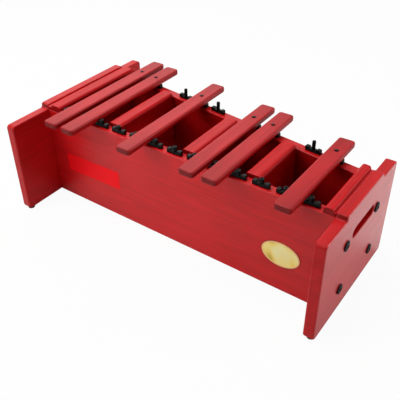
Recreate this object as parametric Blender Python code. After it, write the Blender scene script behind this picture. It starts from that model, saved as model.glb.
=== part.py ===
"""Alto xylophone, the chromatic half: a red wooden resonance box with six loose bars.

The box tapers towards the short bars. Four resonance chambers lie between its cross walls.
Each bar lies on black rubber supports. A pin passes through the hole near the bar's back end,
and a sleeve stands on each side of the bar near its front end.

Units are metres. X runs along the instrument from the long bars to the short ones, Y from the
player's side to the back, Z up. The origin is the middle of the footprint, on the table.
"""

import math

import bmesh
import bpy
from mathutils import Matrix, Vector

# Clearances
TOUCH_GAP = 0.0003
BOLT_CLEARANCE = 0.0003
PIN_CLEARANCE = 0.0008
SLEEVE_CLEARANCE = 0.0019

# Bar row
BAR_PITCH = 0.040
ROW_STEPS = 12
ROW_SHIFT = 0.0045
ROW_END_MARGIN = 0.0445
BAR_THICKNESS = 0.011
BAR_CORNER_RADIUS = 0.005
BAR_EASE = 0.0026
ARCH_SHARE = 0.46
ARCH_SEGMENTS = 12
# Each bar: name, step in the row, overhang in front of the box, overhang behind it, depth of arch
BARS = (
    ("bar_low_c_sharp", 0, 0.059, 0.0464, 0.0026),
    ("bar_low_d_sharp", 1, 0.059, 0.0459, 0.0024),
    ("bar_low_g_sharp", 4, 0.052, 0.0484, 0.0021),
    ("bar_high_c_sharp", 7, 0.0465, 0.0429, 0.0017),
    ("bar_high_d_sharp", 8, 0.0445, 0.0409, 0.0015),
    ("bar_high_g_sharp", 11, 0.042, 0.0344, 0.0012),
)
BACK_PIN_STEPS = (0, 1, 3, 4, 5, 7, 8, 10, 11)
FRONT_PIN_STEPS = (-0.5, 0.5, 1.5, 2.5, 3.5, 4.5, 5.5, 6.5, 7.5, 8.5, 9.5, 10.5, 11.5)

# Box
BOARD_THICKNESS = 0.018
BOARD_HEIGHT = 0.1805
FRONT_FACE_Y = -0.090
BOX_DEPTH = 0.1695
BACK_FACE_SLOPE = -0.1375
BOTTOM_THICKNESS = 0.008
BOTTOM_RECESS = 0.004
BOARD_EDGE_RADIUS = 0.0018
WOOD_EASE = 0.0006

# Cross walls: their tops stand above the boards, and each end wall has a ledge beside its panel
LEFT_WALL_THICKNESS = 0.0325
RIGHT_WALL_THICKNESS = 0.0185
LEFT_LEDGE_WIDTH = 0.010
RIGHT_LEDGE_WIDTH = 0.003
LEDGE_DROP = 0.005
LEDGE_FILLET_RADIUS = 0.001
END_WALL_RISE = 0.011
END_WALL_INNER_RADIUS = 0.006
END_WALL_OUTER_RADIUS = 0.0035
PARTITION_STEPS = (2, 6, 9)
PARTITION_THICKNESS = 0.028
PARTITION_RISE = 0.0065
PARTITION_EDGE_RADIUS = 0.006

# End panels: each has a tab beside its end wall
PANEL_THICKNESS = 0.018
PANEL_CORNER_RADIUS = 0.0065
PANEL_EASE = 0.0036
TAB_OVER_BOARDS = 0.0085
TAB_RISE = 0.009
TAB_CORNER_RADIUS = 0.0042
TAB_STEP_FLAT = 0.0005
LEFT_PANEL_FRONT_OVERHANG = 0.085
LEFT_PANEL_BACK_OVERHANG = 0.0564
RIGHT_PANEL_FRONT_OVERHANG = 0.0635
RIGHT_PANEL_BACK_OVERHANG = 0.0571
SLOT_LENGTH = 0.078
SLOT_HEIGHT = 0.019
SLOT_SETBACK = 0.0705
SLOT_DROP = 0.0445
SLOT_LIP_RADIUS = 0.002
SLOT_LIP_SWEEP = math.radians(72)
SLOT_LIP_SEGMENTS = 3

# Bolts through each end panel into the end wall
BOLT_FRONT_INSET = 0.011
BOLT_BACK_INSET = 0.0094
BOLT_UPPER_DROP = 0.0495
BOLT_LOWER_HEIGHT = 0.0465
BOLT_HEAD_RADIUS = 0.0085
BOLT_HEAD_HEIGHT = 0.0028
BOLT_RIM_HEIGHT = 0.0012
BOLT_SHANK_RADIUS = 0.003
BOLT_REACH = 0.014
SOCKET_RADIUS = 0.0029
SOCKET_DEPTH = 0.0018

# Rubber supports: a solid pin in the back ones, a hollow sleeve in the front ones
SUPPORT_DEPTH = 0.0065
SUPPORT_HEIGHT = 0.0075
SUPPORT_WAIST = 0.005
SUPPORT_END_LENGTH = 0.0065
SUPPORT_SLOPE_LENGTH = 0.0015
SUPPORT_EDGE_RADIUS = 0.0012
SUPPORT_INSET = 0.008
PIN_RADIUS = 0.0031
PIN_HEIGHT = 0.020
PIN_TIP_EASE = 0.0014
SLEEVE_RADIUS = 0.0041
SLEEVE_HEIGHT = 0.013
SLEEVE_TIP_EASE = 0.001
SLEEVE_BORE_RADIUS = 0.0019
SLEEVE_BORE_DEPTH = 0.005

# Feet
FOOT_RADIUS = 0.0065
FOOT_HEIGHT = 0.0045
FOOT_INSET = 0.011
FOOT_EASE = 0.0008

# Levels worked out from the sizes above
UNDERSIDE = FOOT_HEIGHT
BOARD_TOP = UNDERSIDE + BOARD_HEIGHT
END_WALL_TOP = BOARD_TOP + END_WALL_RISE
PARTITION_TOP = BOARD_TOP + PARTITION_RISE
TAB_TOP = BOARD_TOP + TAB_OVER_BOARDS
SHOULDER = TAB_TOP - TAB_RISE
TAB_FILLET_RADIUS = TAB_RISE - TAB_CORNER_RADIUS - TAB_STEP_FLAT
SUPPORT_BOTTOM = BOARD_TOP + TOUCH_GAP
BAR_BOTTOM = SUPPORT_BOTTOM + SUPPORT_HEIGHT + TOUCH_GAP
BAR_WIDTH = BAR_PITCH - 2 * (SLEEVE_RADIUS + SLEEVE_CLEARANCE)
SUPPORT_LENGTH = BAR_WIDTH
WALL_OUTER_X = ROW_STEPS * BAR_PITCH / 2 + ROW_END_MARGIN
LEFT_INNER_X = LEFT_WALL_THICKNESS - WALL_OUTER_X
RIGHT_INNER_X = WALL_OUTER_X - RIGHT_WALL_THICKNESS
PANEL_INNER_X = WALL_OUTER_X + TOUCH_GAP
PANEL_OUTER_X = PANEL_INNER_X + PANEL_THICKNESS
FRONT_INNER_Y = FRONT_FACE_Y + BOARD_THICKNESS
BACK_WALL_DEPTH = BOARD_THICKNESS * math.hypot(1.0, BACK_FACE_SLOPE)
BOTTOM_LOWER = UNDERSIDE + BOTTOM_RECESS
BOTTOM_UPPER = BOTTOM_LOWER + BOTTOM_THICKNESS
FRONT_PIN_Y = FRONT_FACE_Y + SUPPORT_INSET

RED_STAIN = (0.42, 0.018, 0.022, 1.0)
DEEP_RED_STAIN = (0.30, 0.008, 0.012, 1.0)
BAR_RED = (0.48, 0.035, 0.040, 1.0)
BLACK_RUBBER = (0.012, 0.014, 0.013, 1.0)
BLACK_STEEL = (0.02, 0.02, 0.02, 1.0)


def step_x(step):
    """Give the X of a place in the bar row."""
    return (step - (ROW_STEPS - 1) / 2) * BAR_PITCH + ROW_SHIFT


def back_face_y(x):
    """Give the Y of the back board's outer face at an X: BOX_DEPTH is the depth in the middle."""
    return FRONT_FACE_Y + BOX_DEPTH + BACK_FACE_SLOPE * x


def back_inner_y(x):
    """Give the Y of the back board's inner face at an X."""
    return back_face_y(x) - BACK_WALL_DEPTH


def back_pin_y(x):
    """Give the Y of the back supports' pins at an X."""
    return back_face_y(x) - SUPPORT_INSET


def clear_scene():
    """Remove the objects that a new file starts with."""
    for thing in list(bpy.data.objects):
        bpy.data.objects.remove(thing, do_unlink=True)


def make_material(name, colour, roughness, metallic=0.0):
    """Make one plain material for a piece."""
    material = bpy.data.materials.new(name)
    material.use_nodes = True
    shader = material.node_tree.nodes["Principled BSDF"]
    shader.inputs["Base Color"].default_value = colour
    shader.inputs["Roughness"].default_value = roughness
    shader.inputs["Metallic"].default_value = metallic
    return material


def extruded(outline, travel):
    """Make a closed prism: a flat outline of points, swept along a vector."""
    body = bmesh.new()
    corners = [body.verts.new(point) for point in outline]
    face = body.faces.new(corners)
    swept = bmesh.ops.extrude_face_region(body, geom=[face])
    moved = [item for item in swept["geom"] if isinstance(item, bmesh.types.BMVert)]
    bmesh.ops.translate(body, verts=moved, vec=Vector(travel))
    bmesh.ops.recalc_face_normals(body, faces=body.faces)
    return body


def upright(plan, bottom, top):
    """Make a prism that stands on a plan outline of (x, y) points."""
    return extruded([(x, y, bottom) for x, y in plan], (0.0, 0.0, top - bottom))


def crosswise(profile, low_x, high_x):
    """Make a prism that runs along X, from a profile of (y, z) points."""
    return extruded([(low_x, y, z) for y, z in profile], (high_x - low_x, 0.0, 0.0))


def cylinder(radius, length, centre, axis="Z", segments=20):
    """Make a cylinder about a centre, along X or Z."""
    body = bmesh.new()
    bmesh.ops.create_cone(
        body, cap_ends=True, segments=segments, radius1=radius, radius2=radius, depth=length
    )
    if axis == "X":
        bmesh.ops.rotate(body, verts=body.verts, matrix=Matrix.Rotation(math.pi / 2, 3, "Y"))
    bmesh.ops.translate(body, verts=body.verts, vec=Vector(centre))
    return body


def arc(centre_y, centre_z, radius, start, end, segments):
    """Give (y, z) points along an arc, with its angles in degrees from +Y."""
    points = []
    for index in range(segments + 1):
        angle = math.radians(start + (end - start) * index / segments)
        points.append((centre_y + radius * math.cos(angle), centre_z + radius * math.sin(angle)))
    return points


def rounded(corners, segments=4):
    """Give an outline's points: a corner (across, up, radius) becomes an arc, or stays sharp at 0."""
    points = []
    for index, (across, up, radius) in enumerate(corners):
        if radius == 0.0:
            points.append((across, up))
            continue
        corner = Vector((across, up))
        before = (Vector(corners[index - 1][:2]) - corner).normalized()
        after = (Vector(corners[(index + 1) % len(corners)][:2]) - corner).normalized()
        half_angle = before.angle(after) / 2
        centre = corner + (before + after).normalized() * radius / math.sin(half_angle)
        start = (corner + before * radius / math.tan(half_angle) - centre).normalized()
        end = (corner + after * radius / math.tan(half_angle) - centre).normalized()
        for step in range(segments + 1):
            points.append(tuple(centre + radius * start.slerp(end, step / segments)))
    return points


def round_long_edges(body, heights, axis, radius, segments=4):
    """Round the level edges of a board at the heights given that run along an axis, 0 for X or 1 for Y."""
    edges = []
    for edge in body.edges:
        first, second = (vert.co for vert in edge.verts)
        run = second - first
        level = any(abs(first.z - height) + abs(second.z - height) < TOUCH_GAP for height in heights)
        if level and abs(run[axis]) > abs(run[1 - axis]):
            edges.append(edge)
    bmesh.ops.bevel(
        body, geom=edges, offset=radius, segments=segments, profile=0.5, affect="EDGES", material=-1
    )


def scratch_object(body):
    """Wrap a bmesh in an object for the modifiers to work on."""
    mesh = bpy.data.meshes.new("scratch")
    body.to_mesh(mesh)
    body.free()
    thing = bpy.data.objects.new("scratch", mesh)
    bpy.context.scene.collection.objects.link(thing)
    return thing


def finished_mesh(name, body, ease=0.0, ease_segments=2, joins=(), cuts=()):
    """Ease a body's edges, join further bodies to it and cut holes in it."""
    thing = scratch_object(body)
    tools = []
    if ease:
        bevel = thing.modifiers.new("ease", "BEVEL")
        bevel.width = ease
        bevel.segments = ease_segments
        bevel.limit_method = "ANGLE"
        bevel.angle_limit = math.radians(40)
    for operation, bodies in (("UNION", joins), ("DIFFERENCE", cuts)):
        for extra in bodies:
            tool = scratch_object(extra)
            tools.append(tool)
            boolean = thing.modifiers.new(operation.lower(), "BOOLEAN")
            boolean.operation = operation
            boolean.solver = "EXACT"
            boolean.object = tool
    bpy.context.view_layer.update()
    evaluated = thing.evaluated_get(bpy.context.evaluated_depsgraph_get())
    mesh = bpy.data.meshes.new_from_object(evaluated)
    mesh.name = name
    mesh.shade_smooth()
    mesh.set_sharp_from_angle(angle=math.radians(35))
    for spent in [thing] + tools:
        data = spent.data
        bpy.data.objects.remove(spent, do_unlink=True)
        bpy.data.meshes.remove(data)
    return mesh


def place(name, mesh, material, location=(0.0, 0.0, 0.0)):
    """Put a finished mesh in the scene as one named piece."""
    mesh.materials.clear()
    mesh.materials.append(material)
    piece = bpy.data.objects.new(name, mesh)
    piece.location = location
    bpy.context.scene.collection.objects.link(piece)
    return piece


def bolt_places():
    """Give the (y, z) of the four bolts of an end panel, which fit the box's narrow end too."""
    front = FRONT_FACE_Y + BOLT_FRONT_INSET
    back = back_face_y(WALL_OUTER_X) - BOLT_BACK_INSET
    upper = SHOULDER - BOLT_UPPER_DROP
    lower = UNDERSIDE + BOLT_LOWER_HEIGHT
    return {
        "upper_front": (front, upper),
        "upper_back": (back, upper),
        "lower_front": (front, lower),
        "lower_back": (back, lower),
    }


def bolt_holes(side, rows=("front", "back")):
    """Make the cutters for the bolt holes at one end: through the panel, blind in the box."""
    near = PANEL_INNER_X - BOLT_REACH
    far = PANEL_OUTER_X + BOLT_REACH
    radius = BOLT_SHANK_RADIUS + BOLT_CLEARANCE
    middle_x = side * (near + far) / 2
    spots = [spot for name, spot in bolt_places().items() if name.endswith(rows)]
    return [cylinder(radius, far - near, (middle_x, y, z), "X") for y, z in spots]


def build_boards(material, inner_material):
    """Build the front board over the box's whole length, and the back and bottom boards inside it."""
    end = WALL_OUTER_X
    front = ((-end, FRONT_FACE_Y), (end, FRONT_FACE_Y), (end, FRONT_INNER_Y), (-end, FRONT_INNER_Y))
    low = LEFT_INNER_X + TOUCH_GAP
    high = RIGHT_INNER_X - TOUCH_GAP
    back = (
        (low, back_inner_y(low)),
        (high, back_inner_y(high)),
        (high, back_face_y(high)),
        (low, back_face_y(low)),
    )
    holes = bolt_holes(-1, ("front",)) + bolt_holes(1, ("front",))
    for name, plan, cuts in (("front_board", front, holes), ("back_board", back, ())):
        body = upright(plan, UNDERSIDE, BOARD_TOP)
        round_long_edges(body, (UNDERSIDE, BOARD_TOP), 0, BOARD_EDGE_RADIUS)
        place(name, finished_mesh(name, body, cuts=cuts), material)

    near = FRONT_INNER_Y + TOUCH_GAP
    bottom = (
        (low, near),
        (high, near),
        (high, back_inner_y(high) - TOUCH_GAP),
        (low, back_inner_y(low) - TOUCH_GAP),
    )
    body = upright(bottom, BOTTOM_LOWER, BOTTOM_UPPER)
    place("bottom_board", finished_mesh("bottom_board", body), inner_material)


def end_wall_body(side, inner_x, ledge_width):
    """Make one end wall's body up to the slanting back face, with a ledge along its outer top edge."""
    outer_x = side * WALL_OUTER_X
    ledge_x = outer_x - side * ledge_width
    ledge_top = END_WALL_TOP - LEDGE_DROP
    corners = (
        (outer_x, UNDERSIDE, 0.0),
        (inner_x, UNDERSIDE, 0.0),
        (inner_x, END_WALL_TOP, END_WALL_INNER_RADIUS),
        (ledge_x, END_WALL_TOP, END_WALL_OUTER_RADIUS),
        (ledge_x, ledge_top, LEDGE_FILLET_RADIUS),
        (outer_x, ledge_top, 0.0),
    )
    outline = [(x, FRONT_FACE_Y, z) for x, z in rounded(corners)]
    body = extruded(outline, (0.0, BOX_DEPTH, 0.0))
    for vert in body.verts:
        if vert.co.y > FRONT_INNER_Y:
            vert.co.y = back_face_y(vert.co.x)
    return body


def build_cross_walls(material):
    """Build the end walls, which reach over the front board's top, and the three partitions."""
    reach = WALL_OUTER_X + BOARD_THICKNESS
    behind = FRONT_INNER_Y + TOUCH_GAP
    before = FRONT_FACE_Y - BOARD_THICKNESS
    notch_plan = ((-reach, before), (reach, before), (reach, behind), (-reach, behind))
    ends = (
        ("left_end_wall", -1, LEFT_INNER_X, LEFT_LEDGE_WIDTH),
        ("right_end_wall", 1, RIGHT_INNER_X, RIGHT_LEDGE_WIDTH),
    )
    for name, side, inner_x, ledge_width in ends:
        body = end_wall_body(side, inner_x, ledge_width)
        notch = upright(notch_plan, 0.0, BOARD_TOP + TOUCH_GAP)
        cuts = [notch] + bolt_holes(side, ("back",))
        place(name, finished_mesh(name, body, WOOD_EASE, cuts=cuts), material)

    names = ("low_partition", "middle_partition", "high_partition")
    for name, step in zip(names, PARTITION_STEPS):
        low = step_x(step) - PARTITION_THICKNESS / 2
        high = step_x(step) + PARTITION_THICKNESS / 2
        near = FRONT_INNER_Y + TOUCH_GAP
        plan = (
            (low, near),
            (high, near),
            (high, back_inner_y(high) - TOUCH_GAP),
            (low, back_inner_y(low) - TOUCH_GAP),
        )
        body = upright(plan, BOTTOM_UPPER + TOUCH_GAP, PARTITION_TOP)
        round_long_edges(body, (PARTITION_TOP,), 1, PARTITION_EDGE_RADIUS)
        place(name, finished_mesh(name, body, WOOD_EASE), material)


def panel_profile(front_y, back_y, tab_back_y):
    """Give the outline of an end panel: a plain board with a raised tab behind the bars."""
    corners = (
        (front_y, UNDERSIDE, PANEL_CORNER_RADIUS),
        (back_y, UNDERSIDE, PANEL_CORNER_RADIUS),
        (back_y, SHOULDER, PANEL_CORNER_RADIUS),
        (tab_back_y, SHOULDER, TAB_FILLET_RADIUS),
        (tab_back_y, TAB_TOP, TAB_CORNER_RADIUS),
        (FRONT_FACE_Y, TAB_TOP, TAB_CORNER_RADIUS),
        (FRONT_FACE_Y, SHOULDER, TAB_FILLET_RADIUS),
        (front_y, SHOULDER, PANEL_CORNER_RADIUS),
    )
    return rounded(corners)


def slot_outline(growth):
    """Give the hand slot's outline, grown outwards by a distance."""
    radius = SLOT_HEIGHT / 2
    reach = SLOT_LENGTH / 2 - radius
    middle_y = FRONT_FACE_Y + SLOT_SETBACK
    middle_z = SHOULDER - SLOT_DROP
    outline = arc(middle_y + reach, middle_z, radius + growth, -90, 90, 8)
    outline += arc(middle_y - reach, middle_z, radius + growth, 90, 270, 8)
    return outline


def hand_slot(side):
    """Make the cutter for one end panel's hand slot, which flares into a rounded lip outside."""
    lip_start = PANEL_OUTER_X - SLOT_LIP_RADIUS
    sections = [(WALL_OUTER_X - SLOT_LIP_RADIUS, 0.0)]
    for index in range(SLOT_LIP_SEGMENTS + 1):
        angle = SLOT_LIP_SWEEP * index / SLOT_LIP_SEGMENTS
        rise = SLOT_LIP_RADIUS * math.sin(angle)
        sections.append((lip_start + rise, SLOT_LIP_RADIUS * (1 - math.cos(angle))))
    last_x, last_growth = sections[-1]
    sections.append((last_x + SLOT_LIP_RADIUS, last_growth + SLOT_LIP_RADIUS * math.tan(SLOT_LIP_SWEEP)))
    body = bmesh.new()
    rings = []
    for x, growth in sections:
        ring = [body.verts.new((side * x, y, z)) for y, z in slot_outline(growth)]
        rings.append([body.edges.new(pair) for pair in zip(ring, ring[1:] + ring[:1])])
    for near, far in zip(rings, rings[1:]):
        bmesh.ops.bridge_loops(body, edges=near + far)
    bmesh.ops.holes_fill(body, edges=rings[0] + rings[-1], sides=0)
    bmesh.ops.recalc_face_normals(body, faces=body.faces)
    return body


def panel_ends(side):
    """Give the Y of an end panel's front and back."""
    wall_back_y = back_face_y(side * WALL_OUTER_X)
    if side < 0:
        return FRONT_FACE_Y - LEFT_PANEL_FRONT_OVERHANG, wall_back_y + LEFT_PANEL_BACK_OVERHANG
    return FRONT_FACE_Y - RIGHT_PANEL_FRONT_OVERHANG, wall_back_y + RIGHT_PANEL_BACK_OVERHANG


def build_end_panels(material):
    """Build the two end panels, which carry the box between them."""
    for name, side in (("left_end_panel", -1), ("right_end_panel", 1)):
        front_y, back_y = panel_ends(side)
        profile = panel_profile(front_y, back_y, back_face_y(side * WALL_OUTER_X))
        low, high = sorted((side * PANEL_INNER_X, side * PANEL_OUTER_X))
        body = crosswise(profile, low, high)
        cuts = bolt_holes(side) + [hand_slot(side)]
        place(name, finished_mesh(name, body, PANEL_EASE, 3, cuts=cuts), material)


def bolt_mesh():
    """Make a bolt along +X: a low domed head with a socket, and a plain shank."""
    head_edge = BOLT_RIM_HEIGHT
    dome_steps = 5
    profile = [(0.0, -PANEL_THICKNESS - BOLT_REACH), (BOLT_SHANK_RADIUS, -PANEL_THICKNESS - BOLT_REACH)]
    profile += [(BOLT_SHANK_RADIUS, 0.0), (BOLT_HEAD_RADIUS, 0.0)]
    for index in range(dome_steps):
        angle = math.pi / 2 * index / dome_steps
        rise = (BOLT_HEAD_HEIGHT - head_edge) * math.sin(angle)
        profile.append((BOLT_HEAD_RADIUS * math.cos(angle), head_edge + rise))
    profile.append((0.0, BOLT_HEAD_HEIGHT))
    body = bmesh.new()
    points = [body.verts.new((along, radius, 0.0)) for radius, along in profile]
    edges = [body.edges.new(pair) for pair in zip(points, points[1:])]
    bmesh.ops.spin(
        body, geom=points + edges, cent=(0, 0, 0), axis=(1, 0, 0), angle=2 * math.pi, steps=20, use_merge=True
    )
    bmesh.ops.remove_doubles(body, verts=body.verts, dist=0.00001)
    bmesh.ops.recalc_face_normals(body, faces=body.faces)
    socket = cylinder(SOCKET_RADIUS, 2 * SOCKET_DEPTH, (BOLT_HEAD_HEIGHT, 0.0, 0.0), "X", segments=6)
    return finished_mesh("bolt", body, cuts=[socket])


def build_bolts(material):
    """Build the four bolts of each end panel."""
    mesh = bolt_mesh()
    for side_name, side in (("left", -1), ("right", 1)):
        for place_name, (y, z) in bolt_places().items():
            location = (side * (PANEL_OUTER_X + TOUCH_GAP), y, z)
            bolt = place(f"{side_name}_bolt_{place_name}", mesh, material, location)
            if side < 0:
                bolt.rotation_euler = (0.0, 0.0, math.pi)


def support_strip():
    """Make the strip of a rubber support, with a raised block at each end to carry a bar."""
    half = SUPPORT_LENGTH / 2
    shoulder = half - SUPPORT_END_LENGTH
    foot = shoulder - SUPPORT_SLOPE_LENGTH
    corners = (
        (-half, 0.0, 0.0),
        (half, 0.0, 0.0),
        (half, SUPPORT_HEIGHT, SUPPORT_EDGE_RADIUS),
        (shoulder, SUPPORT_HEIGHT, SUPPORT_EDGE_RADIUS),
        (foot, SUPPORT_WAIST, 0.0),
        (-foot, SUPPORT_WAIST, 0.0),
        (-shoulder, SUPPORT_HEIGHT, SUPPORT_EDGE_RADIUS),
        (-half, SUPPORT_HEIGHT, SUPPORT_EDGE_RADIUS),
    )
    outline = rounded(corners, 2)
    return extruded([(x, -SUPPORT_DEPTH / 2, z) for x, z in outline], (0.0, SUPPORT_DEPTH, 0.0))


def upright_pin(radius, height, tip_ease):
    """Make the round upright of a support, from the board to its eased tip."""
    pin = cylinder(radius, height, (0.0, 0.0, height / 2), segments=16)
    tip = [edge for edge in pin.edges if all(vert.co.z > height - TOUCH_GAP for vert in edge.verts)]
    bmesh.ops.bevel(pin, geom=tip, offset=tip_ease, segments=3, profile=0.5, affect="EDGES", material=-1)
    return pin


def back_support_mesh():
    """Make a back support: a strip with a pin that passes through a bar's hole."""
    pin = upright_pin(PIN_RADIUS, PIN_HEIGHT, PIN_TIP_EASE)
    return finished_mesh("back_support", support_strip(), joins=[pin])


def front_support_mesh():
    """Make a front support: a strip with a hollow sleeve that stands between two bars."""
    sleeve = upright_pin(SLEEVE_RADIUS, SLEEVE_HEIGHT, SLEEVE_TIP_EASE)
    tip = (0.0, 0.0, SLEEVE_HEIGHT)
    bore = cylinder(SLEEVE_BORE_RADIUS, 2 * SLEEVE_BORE_DEPTH, tip, segments=12)
    return finished_mesh("front_support", support_strip(), joins=[sleeve], cuts=[bore])


def build_supports(material):
    """Build the rubber supports of the back row and of the front row."""
    mesh = back_support_mesh()
    for number, step in enumerate(BACK_PIN_STEPS, start=1):
        x = step_x(step)
        support = place(f"back_support_{number}", mesh, material, (x, back_pin_y(x), SUPPORT_BOTTOM))
        support.rotation_euler = (0.0, 0.0, math.atan(BACK_FACE_SLOPE))
    mesh = front_support_mesh()
    for number, step in enumerate(FRONT_PIN_STEPS, start=1):
        place(f"front_support_{number}", mesh, material, (step_x(step), FRONT_PIN_Y, SUPPORT_BOTTOM))


def bar_mesh(name, front_y, back_y, arch_depth):
    """Make a bar about its hole: round corners in plan and a tuning arch underneath."""
    length = back_y - front_y
    middle = (front_y + back_y) / 2
    half_arch = length * ARCH_SHARE / 2
    profile = [(back_y, 0.0), (back_y, BAR_THICKNESS), (front_y, BAR_THICKNESS), (front_y, 0.0)]
    for index in range(ARCH_SEGMENTS + 1):
        along = 2 * index / ARCH_SEGMENTS - 1
        profile.append((middle + along * half_arch, arch_depth * math.cos(along * math.pi / 2) ** 2))
    body = crosswise(profile, -BAR_WIDTH / 2, BAR_WIDTH / 2)
    corners = [edge for edge in body.edges if is_bar_corner(edge, (front_y, back_y))]
    bmesh.ops.bevel(
        body, geom=corners, offset=BAR_CORNER_RADIUS, segments=3, profile=0.5, affect="EDGES", material=-1
    )
    hole = cylinder(PIN_RADIUS + PIN_CLEARANCE, 3 * BAR_THICKNESS, (0.0, 0.0, BAR_THICKNESS / 2))
    return finished_mesh(name, body, BAR_EASE, cuts=[hole])


def is_bar_corner(edge, ends):
    """Tell whether an edge is one of a bar's four upright corners."""
    first, second = (vert.co for vert in edge.verts)
    stands = abs(first.z - second.z) > BAR_THICKNESS / 2
    return stands and any(abs(first.y - end) < BAR_EASE for end in ends)


def build_bars(material):
    """Build the six bars, each with its origin on the axis along which it lifts off."""
    for name, step, front_overhang, back_overhang, arch_depth in BARS:
        x = step_x(step)
        pin_y = back_pin_y(x)
        front_y = FRONT_FACE_Y - front_overhang
        back_y = back_face_y(x) + back_overhang
        mesh = bar_mesh(name, front_y - pin_y, back_y - pin_y, arch_depth)
        place(name, mesh, material, (x, pin_y, BAR_BOTTOM))


def build_feet(material):
    """Build the rubber feet under the end panels and under the box's corners."""
    height = FOOT_HEIGHT - TOUCH_GAP
    body = cylinder(FOOT_RADIUS, height, (0.0, 0.0, height / 2), segments=24)
    mesh = finished_mesh("foot", body, FOOT_EASE)
    panel_x = (PANEL_INNER_X + PANEL_OUTER_X) / 2
    wall_x = WALL_OUTER_X - FOOT_INSET
    for side_name, side in (("left", -1), ("right", 1)):
        front_y, back_y = panel_ends(side)
        spots = {
            "panel_foot_front": (side * panel_x, front_y + FOOT_INSET),
            "panel_foot_back": (side * panel_x, back_y - FOOT_INSET),
            "box_foot_front": (side * wall_x, FRONT_FACE_Y + FOOT_INSET),
            "box_foot_back": (side * wall_x, back_face_y(side * wall_x) - FOOT_INSET),
        }
        for name, (x, y) in spots.items():
            place(f"{side_name}_{name}", mesh, material, (x, y, 0.0))


def main():
    """Build the whole instrument."""
    clear_scene()
    red_wood = make_material("red stained wood", RED_STAIN, 0.35)
    inner_wood = make_material("deep red wood", DEEP_RED_STAIN, 0.55)
    bar_wood = make_material("red bar wood", BAR_RED, 0.38)
    rubber = make_material("black rubber", BLACK_RUBBER, 0.6)
    steel = make_material("black steel", BLACK_STEEL, 0.35, 0.6)
    build_boards(red_wood, inner_wood)
    build_cross_walls(red_wood)
    build_end_panels(red_wood)
    build_bolts(steel)
    build_supports(rubber)
    build_bars(bar_wood)
    build_feet(rubber)


main()
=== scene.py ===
"""Dress the chromatic half of an alto xylophone: finishes, nail heads, labels, studio and camera."""

from __future__ import annotations

import logging
import math
from dataclasses import dataclass, field
from enum import Enum

import bmesh
import bpy
from mathutils import Matrix, Vector


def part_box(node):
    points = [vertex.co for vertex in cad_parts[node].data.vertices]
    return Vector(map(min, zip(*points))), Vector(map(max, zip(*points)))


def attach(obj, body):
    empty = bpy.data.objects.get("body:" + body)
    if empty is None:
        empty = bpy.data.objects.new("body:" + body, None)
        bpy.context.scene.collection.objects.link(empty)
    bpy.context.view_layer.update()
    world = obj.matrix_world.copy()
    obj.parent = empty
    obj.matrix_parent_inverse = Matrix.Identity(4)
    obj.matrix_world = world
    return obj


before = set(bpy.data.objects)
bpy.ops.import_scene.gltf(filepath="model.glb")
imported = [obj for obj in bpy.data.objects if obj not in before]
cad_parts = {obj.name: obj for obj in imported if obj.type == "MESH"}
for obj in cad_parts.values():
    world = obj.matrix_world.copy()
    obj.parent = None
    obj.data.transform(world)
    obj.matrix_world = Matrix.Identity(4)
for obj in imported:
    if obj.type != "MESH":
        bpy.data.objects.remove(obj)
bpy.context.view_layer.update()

LOG = logging.getLogger("xylophone")
ROOT_BODY = "box"


class GrainAxis(Enum):
    """The axis along which the wood's grain runs."""

    X = 0
    Y = 1
    Z = 2

    def stretch(self, across: float) -> tuple[float, float, float]:
        """Give a mapping scale that packs a pattern across the grain.

        Args:
            across: how many times finer the pattern is across the grain than along it.

        Returns:
            The scale of each axis.
        """
        scale = [across, across, across]
        scale[self.value] = 1.0
        return tuple(scale)


class Side(Enum):
    """Which of a piece's two sides along an axis is meant."""

    BOTH = 0.0
    LOW = -1.0
    HIGH = 1.0


def new_material(name: str) -> tuple[bpy.types.Material, bpy.types.NodeTree, bpy.types.Node]:
    """Make an empty procedural material.

    Args:
        name: the finish's name.

    Returns:
        The material, its node tree and its Principled shader.
    """
    material = bpy.data.materials.new(name)
    material.use_nodes = True
    tree = material.node_tree
    return material, tree, tree.nodes["Principled BSDF"]


def object_coordinates(tree: bpy.types.NodeTree, scale: tuple[float, float, float]) -> bpy.types.NodeSocket:
    """Add a mapping on Object coordinates.

    Args:
        tree: the material's node tree.
        scale: how much each axis is stretched.

    Returns:
        The socket that gives the mapped coordinates.
    """
    source = tree.nodes.new("ShaderNodeTexCoord")
    mapping = tree.nodes.new("ShaderNodeMapping")
    mapping.inputs["Scale"].default_value = scale
    tree.links.new(source.outputs["Object"], mapping.inputs["Vector"])
    return mapping.outputs["Vector"]


def noise(
    tree: bpy.types.NodeTree, vector: bpy.types.NodeSocket, scale: float, detail: float, roughness: float = 0.5
) -> bpy.types.NodeSocket:
    """Add a noise texture.

    Args:
        tree: the material's node tree.
        vector: the coordinates that it reads.
        scale: the pattern's fineness.
        detail: the number of octaves.
        roughness: how strong the finer octaves are.

    Returns:
        The texture's value socket.
    """
    texture = tree.nodes.new("ShaderNodeTexNoise")
    texture.inputs["Scale"].default_value = scale
    texture.inputs["Detail"].default_value = detail
    texture.inputs["Roughness"].default_value = roughness
    tree.links.new(vector, texture.inputs["Vector"])
    return texture.outputs["Fac"]


def ramp(
    tree: bpy.types.NodeTree, value: bpy.types.NodeSocket, stops: list[tuple[float, tuple[float, float, float]]]
) -> bpy.types.NodeSocket:
    """Add a colour ramp.

    Args:
        tree: the material's node tree.
        value: the value that picks the colour.
        stops: positions and linear colours, from low to high.

    Returns:
        The ramp's colour socket.
    """
    node = tree.nodes.new("ShaderNodeValToRGB")
    elements = node.color_ramp.elements
    while len(elements) < len(stops):
        elements.new(0.5)
    for element, (position, colour) in zip(elements, stops):
        element.position = position
        element.color = (*colour, 1.0)
    tree.links.new(value, node.inputs["Fac"])
    return node.outputs["Color"]


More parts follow.
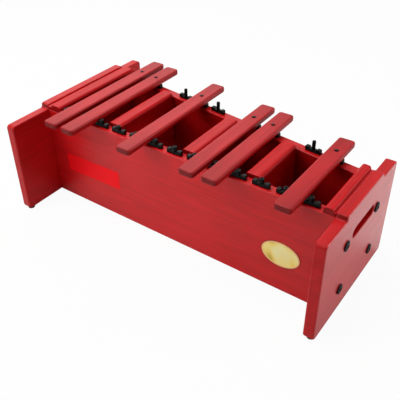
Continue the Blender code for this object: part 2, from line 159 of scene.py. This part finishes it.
def mixed(
    tree: bpy.types.NodeTree,
    factor: bpy.types.NodeSocket | float,
    first: bpy.types.NodeSocket,
    second: bpy.types.NodeSocket,
    blend: str = "MIX",
) -> bpy.types.NodeSocket:
    """Mix two colours.

    Args:
        tree: the material's node tree.
        factor: a socket or a number from 0 to 1.
        first: the first colour.
        second: the second colour.
        blend: the way they are mixed.

    Returns:
        The mixed colour socket.
    """
    node = tree.nodes.new("ShaderNodeMix")
    node.data_type = "RGBA"
    node.blend_type = blend
    if isinstance(factor, float):
        node.inputs["Factor"].default_value = factor
    else:
        tree.links.new(factor, node.inputs["Factor"])
    tree.links.new(first, node.inputs["A"])
    tree.links.new(second, node.inputs["B"])
    return node.outputs["Result"]


def scaled(tree: bpy.types.NodeTree, value: bpy.types.NodeSocket, factor: float) -> bpy.types.NodeSocket:
    """Multiply a value by a number.

    Args:
        tree: the node tree.
        value: the value.
        factor: the number.

    Returns:
        The product's socket.
    """
    node = tree.nodes.new("ShaderNodeMath")
    node.operation = "MULTIPLY"
    node.inputs[1].default_value = factor
    tree.links.new(value, node.inputs[0])
    return node.outputs[0]


def total(
    tree: bpy.types.NodeTree, first: bpy.types.NodeSocket, second: bpy.types.NodeSocket
) -> bpy.types.NodeSocket:
    """Add two values.

    Args:
        tree: the node tree.
        first: the first value.
        second: the second value.

    Returns:
        The sum's socket.
    """
    node = tree.nodes.new("ShaderNodeMath")
    node.operation = "ADD"
    tree.links.new(first, node.inputs[0])
    tree.links.new(second, node.inputs[1])
    return node.outputs[0]


def bumped(
    tree: bpy.types.NodeTree, shader: bpy.types.Node, height: bpy.types.NodeSocket, strength: float, depth: float
) -> None:
    """Give a shader a bump.

    Args:
        tree: the material's node tree.
        shader: the shader that gets the bump.
        height: the height pattern.
        strength: how strong the bump is.
        depth: the pattern's depth in metres.
    """
    node = tree.nodes.new("ShaderNodeBump")
    node.inputs["Strength"].default_value = strength
    node.inputs["Distance"].default_value = depth
    tree.links.new(height, node.inputs["Height"])
    tree.links.new(node.outputs["Normal"], shader.inputs["Normal"])


def facing(tree: bpy.types.NodeTree, axis: GrainAxis, side: Side = Side.BOTH) -> bpy.types.NodeSocket:
    """Tell how squarely a surface faces along one of the object's axes.

    Args:
        tree: the material's node tree.
        axis: the axis.
        side: the side of the piece that counts.

    Returns:
        A value socket: 1 where the surface faces along the axis, 0 where it runs beside it.
    """
    source = tree.nodes.new("ShaderNodeTexCoord")
    parts = tree.nodes.new("ShaderNodeSeparateXYZ")
    size = tree.nodes.new("ShaderNodeMath")
    size.operation = "ABSOLUTE" if side is Side.BOTH else "MULTIPLY"
    size.inputs[1].default_value = side.value
    edge = tree.nodes.new("ShaderNodeMapRange")
    edge.interpolation_type = "SMOOTHSTEP"
    edge.inputs["From Min"].default_value = 0.55
    edge.inputs["From Max"].default_value = 0.9
    tree.links.new(source.outputs["Normal"], parts.inputs["Vector"])
    tree.links.new(parts.outputs[axis.value], size.inputs[0])
    tree.links.new(size.outputs[0], edge.inputs["Value"])
    return edge.outputs["Result"]


@dataclass(frozen=True)
class Stretch:
    """A stretch along one axis, which is darker towards its two ends."""

    low: float
    high: float
    fade: float = 0.09
    shade: tuple[float, float, float] = (0.74, 0.74, 0.74)

    def colour(self, tree: bpy.types.NodeTree, axis: GrainAxis) -> bpy.types.NodeSocket:
        """Give the factor by which the colour is darkened.

        Args:
            tree: the material's node tree.
            axis: the axis along which the stretch lies.

        Returns:
            A colour socket: white in the middle, the shade at the ends.
        """
        source = tree.nodes.new("ShaderNodeTexCoord")
        parts = tree.nodes.new("ShaderNodeSeparateXYZ")
        centred = tree.nodes.new("ShaderNodeMath")
        centred.operation = "SUBTRACT"
        centred.inputs[1].default_value = (self.low + self.high) / 2
        size = tree.nodes.new("ShaderNodeMath")
        size.operation = "ABSOLUTE"
        near_end = tree.nodes.new("ShaderNodeMapRange")
        near_end.inputs["From Min"].default_value = (self.high - self.low) / 2 - self.fade
        near_end.inputs["From Max"].default_value = (self.high - self.low) / 2
        tree.links.new(source.outputs["Object"], parts.inputs["Vector"])
        tree.links.new(parts.outputs[axis.value], centred.inputs[0])
        tree.links.new(centred.outputs[0], size.inputs[0])
        tree.links.new(size.outputs[0], near_end.inputs["Value"])
        return ramp(tree, near_end.outputs["Result"], [(0.0, (1.0, 1.0, 1.0)), (1.0, self.shade)])


@dataclass(frozen=True)
class PaintedFaceShade:
    """A painted shade: a darker tone on the faces that look along one axis."""

    axis: GrainAxis
    colour: tuple[float, float, float]
    side: Side = Side.BOTH
    above: float | None = None

    def shade(self, tree: bpy.types.NodeTree) -> bpy.types.NodeSocket:
        """Give the factor by which the colour is darkened.

        Args:
            tree: the material's node tree.

        Returns:
            A colour socket: white on other faces and below the height from which the tone starts.
        """
        covered = facing(tree, self.axis, self.side)
        if self.above is not None:
            source = tree.nodes.new("ShaderNodeTexCoord")
            parts = tree.nodes.new("ShaderNodeSeparateXYZ")
            high = tree.nodes.new("ShaderNodeMath")
            high.operation = "GREATER_THAN"
            high.inputs[1].default_value = self.above
            both = tree.nodes.new("ShaderNodeMath")
            both.operation = "MULTIPLY"
            tree.links.new(source.outputs["Object"], parts.inputs["Vector"])
            tree.links.new(parts.outputs["Z"], high.inputs[0])
            tree.links.new(covered, both.inputs[0])
            tree.links.new(high.outputs[0], both.inputs[1])
            covered = both.outputs[0]
        return ramp(tree, covered, [(0.0, (1.0, 1.0, 1.0)), (1.0, self.colour)])


@dataclass(frozen=True)
class FaceCoat:
    """A clear coat on the faces that look along one axis."""

    axis: GrainAxis
    side: Side
    weight: float = 1.0


@dataclass(frozen=True)
class StainedWood:
    """Red stained and lacquered wood, with its grain along one axis and darker end grain."""

    name: str
    light: tuple[float, float, float]
    dark: tuple[float, float, float]
    axis: GrainAxis
    end_shade: tuple[float, float, float] = (0.5, 0.45, 0.45)
    # painted shade on chosen faces
    painted_shades: tuple[PaintedFaceShade, ...] = ()
    stretch: Stretch | None = None
    roughness: float = 0.38
    specular: float = 0.2
    line_shade: tuple[float, float, float] = (0.80, 0.66, 0.66)
    coat: FaceCoat | None = None
    bump_depth: float = 0.00025

    def build(self) -> bpy.types.Material:
        """Make the material."""
        material, tree, shader = new_material(self.name)
        broad = noise(tree, object_coordinates(tree, self.axis.stretch(6.0)), 9.0, 3.0)
        grain = noise(tree, object_coordinates(tree, self.axis.stretch(22.0)), 11.0, 4.0, 0.6)
        pores = noise(tree, object_coordinates(tree, self.axis.stretch(30.0)), 42.0, 3.0, 0.6)
        base = ramp(tree, broad, [(0.35, self.dark), (0.65, self.light)])
        lines = ramp(tree, grain, [(0.34, self.line_shade), (0.56, (1.0, 1.0, 1.0))])
        specks = ramp(tree, pores, [(0.30, self.line_shade), (0.44, (1.0, 1.0, 1.0))])
        colour = mixed(tree, 0.7, base, lines, "MULTIPLY")
        colour = mixed(tree, 0.6, colour, specks, "MULTIPLY")
        ends = ramp(tree, facing(tree, self.axis), [(0.0, (1.0, 1.0, 1.0)), (1.0, self.end_shade)])
        colour = mixed(tree, 1.0, colour, ends, "MULTIPLY")
        # painted shade on the chosen faces
        for face_shade in self.painted_shades:
            colour = mixed(tree, 1.0, colour, face_shade.shade(tree), "MULTIPLY")
        if self.stretch:
            colour = mixed(tree, 1.0, colour, self.stretch.colour(tree, self.axis), "MULTIPLY")
        tree.links.new(colour, shader.inputs["Base Color"])
        gloss = tree.nodes.new("ShaderNodeMapRange")
        gloss.inputs["To Min"].default_value = self.roughness + 0.06
        gloss.inputs["To Max"].default_value = self.roughness - 0.04
        tree.links.new(grain, gloss.inputs["Value"])
        tree.links.new(gloss.outputs["Result"], shader.inputs["Roughness"])
        shader.inputs["Specular IOR Level"].default_value = self.specular
        if self.coat:
            covered = scaled(tree, facing(tree, self.coat.axis, self.coat.side), self.coat.weight)
            tree.links.new(covered, shader.inputs["Coat Weight"])
            shader.inputs["Coat Roughness"].default_value = 0.25
        bumped(tree, shader, pores, 0.35, self.bump_depth)
        return material


@dataclass(frozen=True)
class MouldedRubber:
    """Black rubber with a fine dusty surface."""

    name: str
    light: tuple[float, float, float]
    dark: tuple[float, float, float]
    roughness: float = 0.3
    specular: float = 0.1

    def build(self) -> bpy.types.Material:
        """Make the material."""
        material, tree, shader = new_material(self.name)
        place = object_coordinates(tree, (1.0, 1.0, 1.0))
        dust = noise(tree, place, 180.0, 4.0)
        colour = ramp(tree, dust, [(0.35, self.dark), (0.75, self.light)])
        tree.links.new(colour, shader.inputs["Base Color"])
        shader.inputs["Roughness"].default_value = self.roughness
        shader.inputs["Specular IOR Level"].default_value = self.specular
        bumped(tree, shader, dust, 0.2, 0.0002)
        return material


@dataclass(frozen=True)
class Metal:
    """A metal finish with light wear."""

    name: str
    colour: tuple[float, float, float]
    worn: tuple[float, float, float]
    roughness: float
    metallic: float
    specular: float = 0.5

    def build(self) -> bpy.types.Material:
        """Make the material."""
        material, tree, shader = new_material(self.name)
        place = object_coordinates(tree, (1.0, 1.0, 1.0))
        wear = noise(tree, place, 240.0, 5.0, 0.6)
        colour = ramp(tree, wear, [(0.45, self.colour), (0.8, self.worn)])
        tree.links.new(colour, shader.inputs["Base Color"])
        shader.inputs["Roughness"].default_value = self.roughness
        shader.inputs["Metallic"].default_value = self.metallic
        shader.inputs["Specular IOR Level"].default_value = self.specular
        return material


def link_mesh(name: str, body: bmesh.types.BMesh, material: bpy.types.Material, smooth: bool = True) -> bpy.types.Object:
    """Turn a bmesh into a finished object at the origin.

    Args:
        name: the piece's name.
        body: its shape, in the frame's own metres.
        material: its finish.
        smooth: whether its round faces are shaded smooth.

    Returns:
        The new object.
    """
    bmesh.ops.recalc_face_normals(body, faces=body.faces)
    mesh = bpy.data.meshes.new(name)
    body.to_mesh(mesh)
    body.free()
    mesh.materials.append(material)
    if smooth:
        mesh.shade_smooth()
        mesh.set_sharp_from_angle(angle=math.radians(35))
    piece = bpy.data.objects.new(name, mesh)
    bpy.context.scene.collection.objects.link(piece)
    return piece


def dress(node: str, material: bpy.types.Material) -> None:
    """Give a CAD node its finish.

    Args:
        node: the node's name.
        material: the finish.
    """
    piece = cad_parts[node]
    if not piece.material_slots:
        piece.data.materials.append(material)
    for slot in piece.material_slots:
        slot.material = material
    LOG.info("dressed %s with %s", node, material.name)


@dataclass
class ResonanceBox:
    """The boards, cross walls and end panels."""

    board_red: tuple[float, float, float] = (0.65, 0.006, 0.009)
    board_dark: tuple[float, float, float] = (0.57, 0.003, 0.005)
    # painted light: the front board's tones are lighter than the other boards' tones
    front_red_painted_light: tuple[float, float, float] = (0.74, 0.007, 0.010)
    front_dark_painted_light: tuple[float, float, float] = (0.66, 0.004, 0.006)
    # painted shade: the boards' inner faces, inside the chambers, are darkened
    chamber_painted_shade: tuple[float, float, float] = (0.58, 0.35, 0.35)
    # painted shade: the end panels' inner faces are darkened
    panel_inner_painted_shade: tuple[float, float, float] = (0.82, 0.8, 0.8)
    # painted shade: the front faces of the panels' raised tabs are darkened
    tab_front_painted_shade: tuple[float, float, float] = (0.48, 0.3, 0.35)
    # painted shade: the cross walls' front ends are darkened further, on top of their darker end grain
    ridge_front_painted_shade: tuple[float, float, float] = (0.75, 0.66, 0.66)
    tab_height: float = 0.009
    cross_walls: list[str] = field(
        default_factory=lambda: [
            "left_end_wall",
            "right_end_wall",
            "low_partition",
            "middle_partition",
            "high_partition",
        ]
    )
    panel_outsides: dict[str, Side] = field(
        default_factory=lambda: {"left_end_panel": Side.LOW, "right_end_panel": Side.HIGH}
    )

    def build(self) -> None:
        """Dress every wooden part of the box."""
        low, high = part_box("front_board")
        front = StainedWood(
            "front_board_wood",
            # tones lightened as painted light
            self.front_red_painted_light,
            self.front_dark_painted_light,
            GrainAxis.X,
            # painted shade on the board's inner face, inside the chambers
            painted_shades=(PaintedFaceShade(GrainAxis.Y, self.chamber_painted_shade, Side.HIGH),),
            # painted shade: the front board darkens towards both ends
            stretch=Stretch(low[0], high[0], fade=0.2, shade=(0.84, 0.8, 0.8)),
            coat=FaceCoat(GrainAxis.Y, Side.LOW, 0.28),
        )
        dress("front_board", front.build())
        back = StainedWood(
            "back_board_wood",
            self.board_red,
            self.board_dark,
            GrainAxis.X,
            # painted shade on the board's inner face, inside the chambers
            painted_shades=(PaintedFaceShade(GrainAxis.Y, self.chamber_painted_shade, Side.LOW),),
        )
        dress("back_board", back.build())
        cross_grain = StainedWood(
            "cross_wall_wood",
            self.board_red,
            self.board_dark,
            GrainAxis.Y,
            end_shade=(0.6, 0.6, 0.6),
            # painted shade on the front ends, on top of the end grain's tone
            painted_shades=(PaintedFaceShade(GrainAxis.Y, self.ridge_front_painted_shade, Side.LOW),),
            specular=0.15,
        ).build()
        bottom = StainedWood(
            "inner_wood", (0.40, 0.004, 0.006), (0.30, 0.003, 0.004), GrainAxis.X, roughness=0.6
        ).build()
        for node in self.cross_walls:
            dress(node, cross_grain)
        for node, outside in self.panel_outsides.items():
            inside = Side.HIGH if outside is Side.LOW else Side.LOW
            tab_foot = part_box(node)[1][2] - self.tab_height
            panel = StainedWood(
                f"{node}_wood",
                self.board_red,
                self.board_dark,
                GrainAxis.Y,
                end_shade=(0.88, 0.85, 0.85),
                painted_shades=(
                    # painted shade on the panel's inner face
                    PaintedFaceShade(GrainAxis.X, self.panel_inner_painted_shade, inside),
                    # painted shade on the front face of the raised tab
                    PaintedFaceShade(GrainAxis.Y, self.tab_front_painted_shade, Side.LOW, tab_foot),
                ),
                coat=FaceCoat(GrainAxis.X, outside),
            )
            dress(node, panel.build())
        dress("bottom_board", bottom)


@dataclass
class Bars:
    """The six wooden bars."""

    light: tuple[float, float, float] = (0.58, 0.009, 0.013)
    dark: tuple[float, float, float] = (0.50, 0.005, 0.008)

    def build(self) -> None:
        """Dress the bars."""
        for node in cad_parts:
            if node.startswith("bar_"):
                low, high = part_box(node)
                wood = StainedWood(
                    f"{node}_wood",
                    self.light,
                    self.dark,
                    GrainAxis.Y,
                    end_shade=(0.53, 0.2, 0.2),
                    # painted shade: the bars' sides are darkened
                    painted_shades=(PaintedFaceShade(GrainAxis.X, (0.8, 0.35, 0.35)),),
                    stretch=Stretch(low[1], high[1]),
                    roughness=0.42,
                    specular=0.22,
                )
                dress(node, wood.build())


@dataclass
class Supports:
    """The rubber supports with the nail in each of them, and the rubber feet."""

    pin_nail_radius: float = 0.0013
    sleeve_nail_radius: float = 0.0017
    sleeve_bore_depth: float = 0.005
    nail_rise: float = 0.0003
    nail_depth: float = 0.003

    def build(self) -> None:
        """Dress the rubber, set a nail head in each pin's tip and one down each hollow sleeve."""
        rubber = MouldedRubber("support_rubber", (0.006, 0.009, 0.0075), (0.002, 0.003, 0.0025)).build()
        # painted shade: the nail heads are near black, darkening the holes they sit in
        nail_painted_shade = Metal("nail_black_painted_shade", (0.008, 0.006, 0.006), (0.03, 0.025, 0.025), 0.5, 0.0, 0.25).build()
        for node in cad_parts:
            if "support" in node or "foot" in node:
                dress(node, rubber)
            if node.startswith("back_support"):
                self.nail(node, nail_painted_shade, self.pin_nail_radius, 0.0)
            if node.startswith("front_support"):
                self.nail(node, nail_painted_shade, self.sleeve_nail_radius, self.sleeve_bore_depth)

    def nail(self, node: str, material: bpy.types.Material, radius: float, sunk: float) -> None:
        """Set a nail head in the middle of one support.

        Args:
            node: the support's name.
            material: the nail's finish.
            radius: the head's radius.
            sunk: how far below the support's tip the head sits.
        """
        low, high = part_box(node)
        centre = Vector(((low[0] + high[0]) / 2, (low[1] + high[1]) / 2, high[2] - sunk))
        body = bmesh.new()
        bmesh.ops.create_cone(
            body, cap_ends=True, segments=16, radius1=radius, radius2=radius * 0.7, depth=self.nail_depth
        )
        bmesh.ops.translate(body, verts=body.verts, vec=centre + Vector((0, 0, self.nail_rise - self.nail_depth / 2)))
        piece = link_mesh(f"nail_{node}", body, material)
        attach(piece, ROOT_BODY)


@dataclass
class Bolts:
    """The eight bolts through the end panels."""

    def build(self) -> None:
        """Dress the bolts."""
        finish = Metal("bolt_black", (0.006, 0.006, 0.006), (0.02, 0.017, 0.017), 0.45, 0.0, 0.12).build()
        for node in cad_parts:
            if "_bolt_" in node:
                dress(node, finish)


@dataclass
class Labels:
    """Two blank labels on the front board."""

    thickness: float = 0.0004
    red_centre: tuple[float, float] = (-0.1852, 0.0845)
    red_size: tuple[float, float] = (0.1305, 0.036)
    red_tilt: float = math.radians(1.2)
    oval_centre: tuple[float, float] = (0.2086, 0.0783)
    oval_size: tuple[float, float] = (0.0680, 0.0486)
    oval_layers: tuple[tuple[str, float, float], ...] = (
        ("oval_edge", 0.0, 0.0003),
        ("oval_rim", 0.0013, 0.0004),
        ("oval_face", 0.004, 0.0005),
    )

    def build(self) -> None:
        """Build both labels."""
        red = Metal("label_red", (1.0, 0.006, 0.012), (0.97, 0.010, 0.016), 0.4, 0.5, 0.1).build()
        self.plate("red_label", self.red_centre, self.red_size, self.thickness, self.red_tilt, 4, red)
        finishes = {
            "oval_edge": Metal("oval_edge_brown", (0.20, 0.02, 0.006), (0.26, 0.03, 0.008), 0.5, 0.0, 0.1).build(),
            "oval_rim": Metal("oval_rim_pale", (1.0, 0.62, 0.26), (1.0, 0.74, 0.36), 0.4, 0.5, 0.2).build(),
            "oval_face": self.gold(),
        }
        for name, inset, thickness in self.oval_layers:
            size = (self.oval_size[0] - 2 * inset, self.oval_size[1] - 2 * inset)
            self.plate(name, self.oval_centre, size, thickness, 0.0, 64, finishes[name])

    def gold(self) -> bpy.types.Material:
        """Make the gold foil of the oval label: its gold tone, with broad bright and dull stripes of painted
        reflection.

        Returns:
            The material.
        """
        material, tree, shader = new_material("label_gold")
        # painted reflection: bright and dull stripes in the gold's colour
        painted_reflection_stripes = noise(tree, object_coordinates(tree, (1.0, 1.0, 0.6)), 32.0, 1.0)
        colour = ramp(tree, painted_reflection_stripes, [(0.40, (0.60, 0.44, 0.04)), (0.54, (0.98, 0.82, 0.20)), (0.66, (1.0, 0.96, 0.46))])
        tree.links.new(colour, shader.inputs["Base Color"])
        shader.inputs["Metallic"].default_value = 0.3
        shader.inputs["Roughness"].default_value = 0.35
        return material

    def plate(
        self,
        name: str,
        centre: tuple[float, float],
        size: tuple[float, float],
        thickness: float,
        tilt: float,
        segments: int,
        material: bpy.types.Material,
    ) -> None:
        """Build one thin label on the front board's face.

        Args:
            name: the label's name.
            centre: its middle, as X and Z.
            size: its width and height.
            thickness: how far it stands out of the board.
            tilt: how far its right end is turned up.
            segments: the number of its corners.
            material: its finish.
        """
        face_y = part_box("front_board")[0][1]
        turn = math.pi / segments
        body = bmesh.new()
        bmesh.ops.create_circle(body, cap_ends=True, segments=segments, radius=0.5 / math.cos(turn))
        bmesh.ops.rotate(body, verts=body.verts, matrix=Matrix.Rotation(turn, 3, "Z"))
        bmesh.ops.scale(body, verts=body.verts, vec=(size[0], size[1], 1.0))
        bmesh.ops.rotate(body, verts=body.verts, matrix=Matrix.Rotation(tilt, 3, "Z"))
        bmesh.ops.rotate(body, verts=body.verts, matrix=Matrix.Rotation(math.pi / 2, 3, "X"))
        bmesh.ops.translate(body, verts=body.verts, vec=(centre[0], face_y, centre[1]))
        swept = bmesh.ops.extrude_face_region(body, geom=list(body.faces))
        moved = [item for item in swept["geom"] if isinstance(item, bmesh.types.BMVert)]
        bmesh.ops.translate(body, verts=moved, vec=(0.0, -thickness, 0.0))
        piece = link_mesh(name, body, material)
        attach(piece, ROOT_BODY)
        LOG.info("built %s", name)


@dataclass
class Studio:
    """The pale floor, the soft lights and the camera at the photograph's view."""

    azimuth: float = 38.492
    elevation: float = 34.805
    roll: float = -2.343
    distance: float = 1.09947
    right_offset: float = -0.054208
    up_offset: float = 0.063213
    row_offset: tuple[float, float, float] = (0.0045, 0.0, 0.0045)
    focal_pixels: float = 585.24
    centre_pixels: tuple[float, float] = (175.68, 182.04)
    image_size: int = 400
    sensor: float = 36.0
    floor_half_size: float = 6.0
    floor_camera_glow: float = 0.95
    floor_mirror_glow: float = 0.1
    horizon_top: tuple[float, float] = (5.0, 30.0)
    horizon_light: float = 0.37
    sky_light: float = 0.0

    def build(self) -> None:
        """Build the floor, the lights and the camera."""
        self.floor()
        self.world()
        self.lamp("key_light", (-1.21, 0.99, 1.54), 1.6, 1.65)
        self.lamp("overhead_light", (-0.45, -0.15, 1.9), 1.2, 4.6)
        self.lamp("front_light", (-1.15, -1.6, 1.3), 0.9, 7.0)
        self.lamp("side_light", (1.65, 0.9, 0.55), 0.7, 9.5)
        self.camera()
        bpy.context.scene.view_settings.view_transform = "Standard"

    def floor(self) -> None:
        """Lay a pale floor that shows white and keeps a soft shadow."""
        material, tree, shader = new_material("studio_floor")
        shader.inputs["Base Color"].default_value = (0.9, 0.9, 0.9, 1.0)
        shader.inputs["Roughness"].default_value = 0.9
        shader.inputs["Specular IOR Level"].default_value = 0.0
        glow = tree.nodes.new("ShaderNodeEmission")
        rays = tree.nodes.new("ShaderNodeLightPath")
        camera_share = scaled(tree, rays.outputs["Is Camera Ray"], self.floor_camera_glow)
        mirror = total(tree, rays.outputs["Is Glossy Ray"], rays.outputs["Is Transmission Ray"])
        mirror_share = scaled(tree, mirror, self.floor_mirror_glow)
        mixer = tree.nodes.new("ShaderNodeMixShader")
        output = tree.nodes["Material Output"]
        tree.links.new(total(tree, camera_share, mirror_share), mixer.inputs["Fac"])
        tree.links.new(shader.outputs["BSDF"], mixer.inputs[1])
        tree.links.new(glow.outputs["Emission"], mixer.inputs[2])
        tree.links.new(mixer.outputs["Shader"], output.inputs["Surface"])
        body = bmesh.new()
        bmesh.ops.create_grid(body, x_segments=1, y_segments=1, size=self.floor_half_size)
        floor = link_mesh("studio_floor", body, material, smooth=False)

    def world(self) -> None:
        """Light the scene from a bright horizon and a dimmer sky, and show white behind it."""
        world = bpy.data.worlds.new("studio_world")
        world.use_nodes = True
        tree = world.node_tree
        background = tree.nodes["Background"]
        background.inputs["Color"].default_value = (1.0, 1.0, 1.0, 1.0)
        direction = tree.nodes.new("ShaderNodeTexCoord")
        parts = tree.nodes.new("ShaderNodeSeparateXYZ")
        height = tree.nodes.new("ShaderNodeMapRange")
        height.interpolation_type = "SMOOTHSTEP"
        height.inputs["From Min"].default_value = math.sin(math.radians(self.horizon_top[0]))
        height.inputs["From Max"].default_value = math.sin(math.radians(self.horizon_top[1]))
        height.inputs["To Min"].default_value = self.horizon_light
        height.inputs["To Max"].default_value = self.sky_light
        tree.links.new(direction.outputs["Generated"], parts.inputs["Vector"])
        tree.links.new(parts.outputs["Z"], height.inputs["Value"])
        rays = tree.nodes.new("ShaderNodeLightPath")
        mirror = total(tree, rays.outputs["Is Glossy Ray"], rays.outputs["Is Transmission Ray"])
        seen = total(tree, rays.outputs["Is Camera Ray"], mirror)
        strength = tree.nodes.new("ShaderNodeMix")
        strength.inputs["B"].default_value = 1.0
        tree.links.new(seen, strength.inputs["Factor"])
        tree.links.new(height.outputs["Result"], strength.inputs["A"])
        tree.links.new(strength.outputs["Result"], background.inputs["Strength"])
        bpy.context.scene.world = world

    def lamp(self, name: str, place: tuple[float, float, float], size: float, radiance: float) -> None:
        """Add one soft square lamp that faces the instrument.

        Args:
            name: the lamp's name.
            place: where it stands.
            size: its side in metres.
            radiance: how bright its face is, where 1 is white.
        """
        light = bpy.data.lights.new(name, "AREA")
        light.size = size
        light.energy = radiance * math.pi * size**2
        lamp = bpy.data.objects.new(name, light)
        lamp.location = place
        lamp.rotation_euler = (-Vector(place)).to_track_quat("-Z", "Y").to_euler()
        bpy.context.scene.collection.objects.link(lamp)

    def camera(self) -> None:
        """Place the camera at the photograph's viewpoint."""
        azimuth = math.radians(self.azimuth)
        elevation = math.radians(self.elevation)
        roll = math.radians(self.roll)
        forward = Vector(
            (-math.sin(azimuth) * math.cos(elevation), math.cos(azimuth) * math.cos(elevation), -math.sin(elevation))
        )
        level = Vector((math.cos(azimuth), math.sin(azimuth), 0.0))
        raised = level.cross(forward)
        right = math.cos(roll) * level + math.sin(roll) * raised
        up = -math.sin(roll) * level + math.cos(roll) * raised
        place = -forward * self.distance + right * self.right_offset + up * self.up_offset
        place += Vector(self.row_offset)
        data = bpy.data.cameras.new("camera")
        data.sensor_width = self.sensor
        data.lens = self.focal_pixels * self.sensor / self.image_size
        data.shift_x = (self.image_size / 2 - self.centre_pixels[0]) / self.image_size
        data.shift_y = (self.centre_pixels[1] - self.image_size / 2) / self.image_size
        data.clip_end = 50.0
        camera = bpy.data.objects.new("camera", data)
        turn = Matrix((right, up, -forward)).transposed().to_4x4()
        camera.matrix_world = Matrix.Translation(place) @ turn
        bpy.context.scene.collection.objects.link(camera)
        bpy.context.scene.camera = camera


def main() -> None:
    """Dress every part of the instrument, then set up the studio."""
    logging.basicConfig(level=logging.INFO, format="%(message)s")
    ResonanceBox().build()
    Bars().build()
    Supports().build()
    Bolts().build()
    Labels().build()
    Studio().build()


if __name__ == "__main__":
    main()
